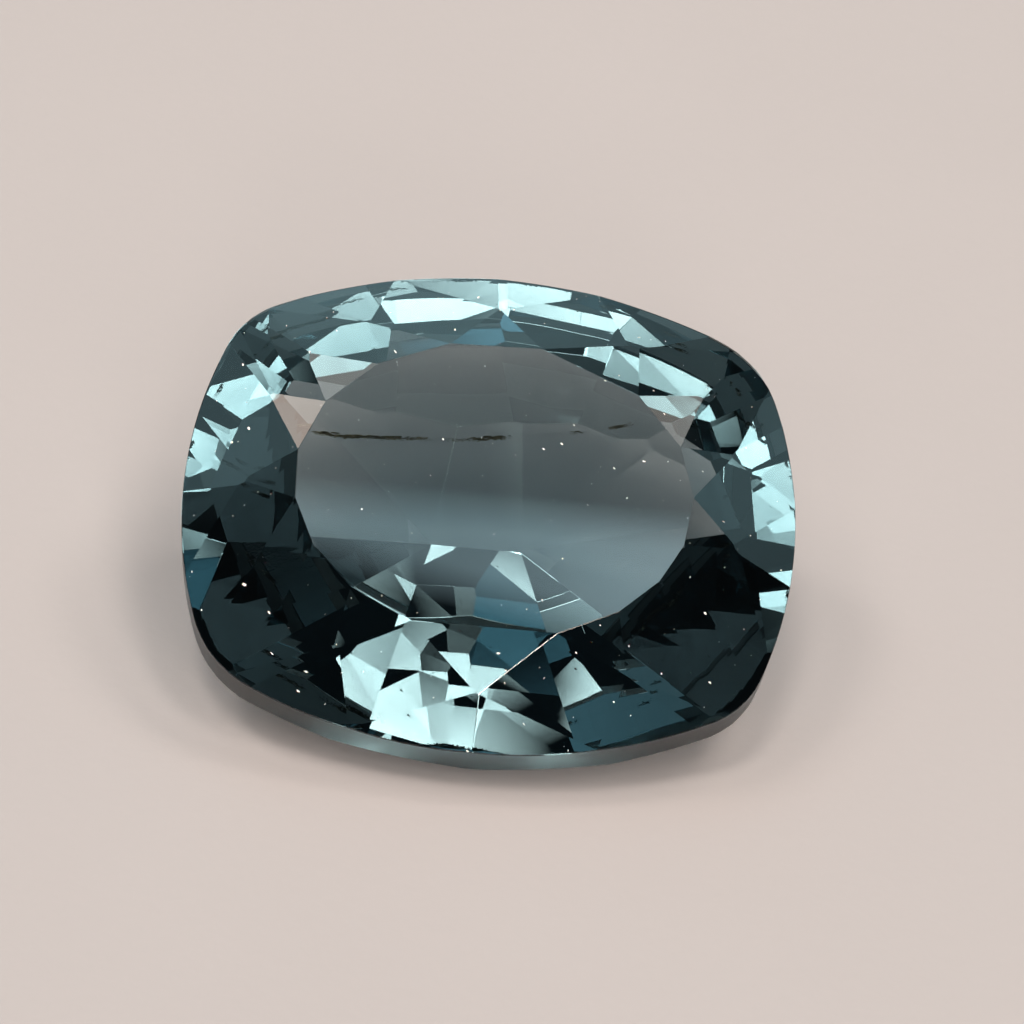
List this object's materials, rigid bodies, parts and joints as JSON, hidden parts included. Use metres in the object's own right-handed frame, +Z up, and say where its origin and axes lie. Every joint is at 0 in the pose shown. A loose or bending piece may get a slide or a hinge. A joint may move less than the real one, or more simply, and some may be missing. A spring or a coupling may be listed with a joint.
{
  "type": "faceted gemstone",
  "caption": "Cushion-cut clear blue-green tourmaline with a large table, a thick matt girdle and a short keel, lying on a lower facet.",
  "frame": {"origin": "centre of the footprint, on the surface that the stone lies on", "axes": "+X along the stone's length, +Z up, and the table faces up and towards -Y"},
  "size_m": [0.016, 0.0124, 0.0082],
  "materials": {
    "tourmaline": "polished clear facets, matt ground girdle"
  },
  "bodies": {
    "root": {"gemstone": "tourmaline"}
  },
  "joints": []
}
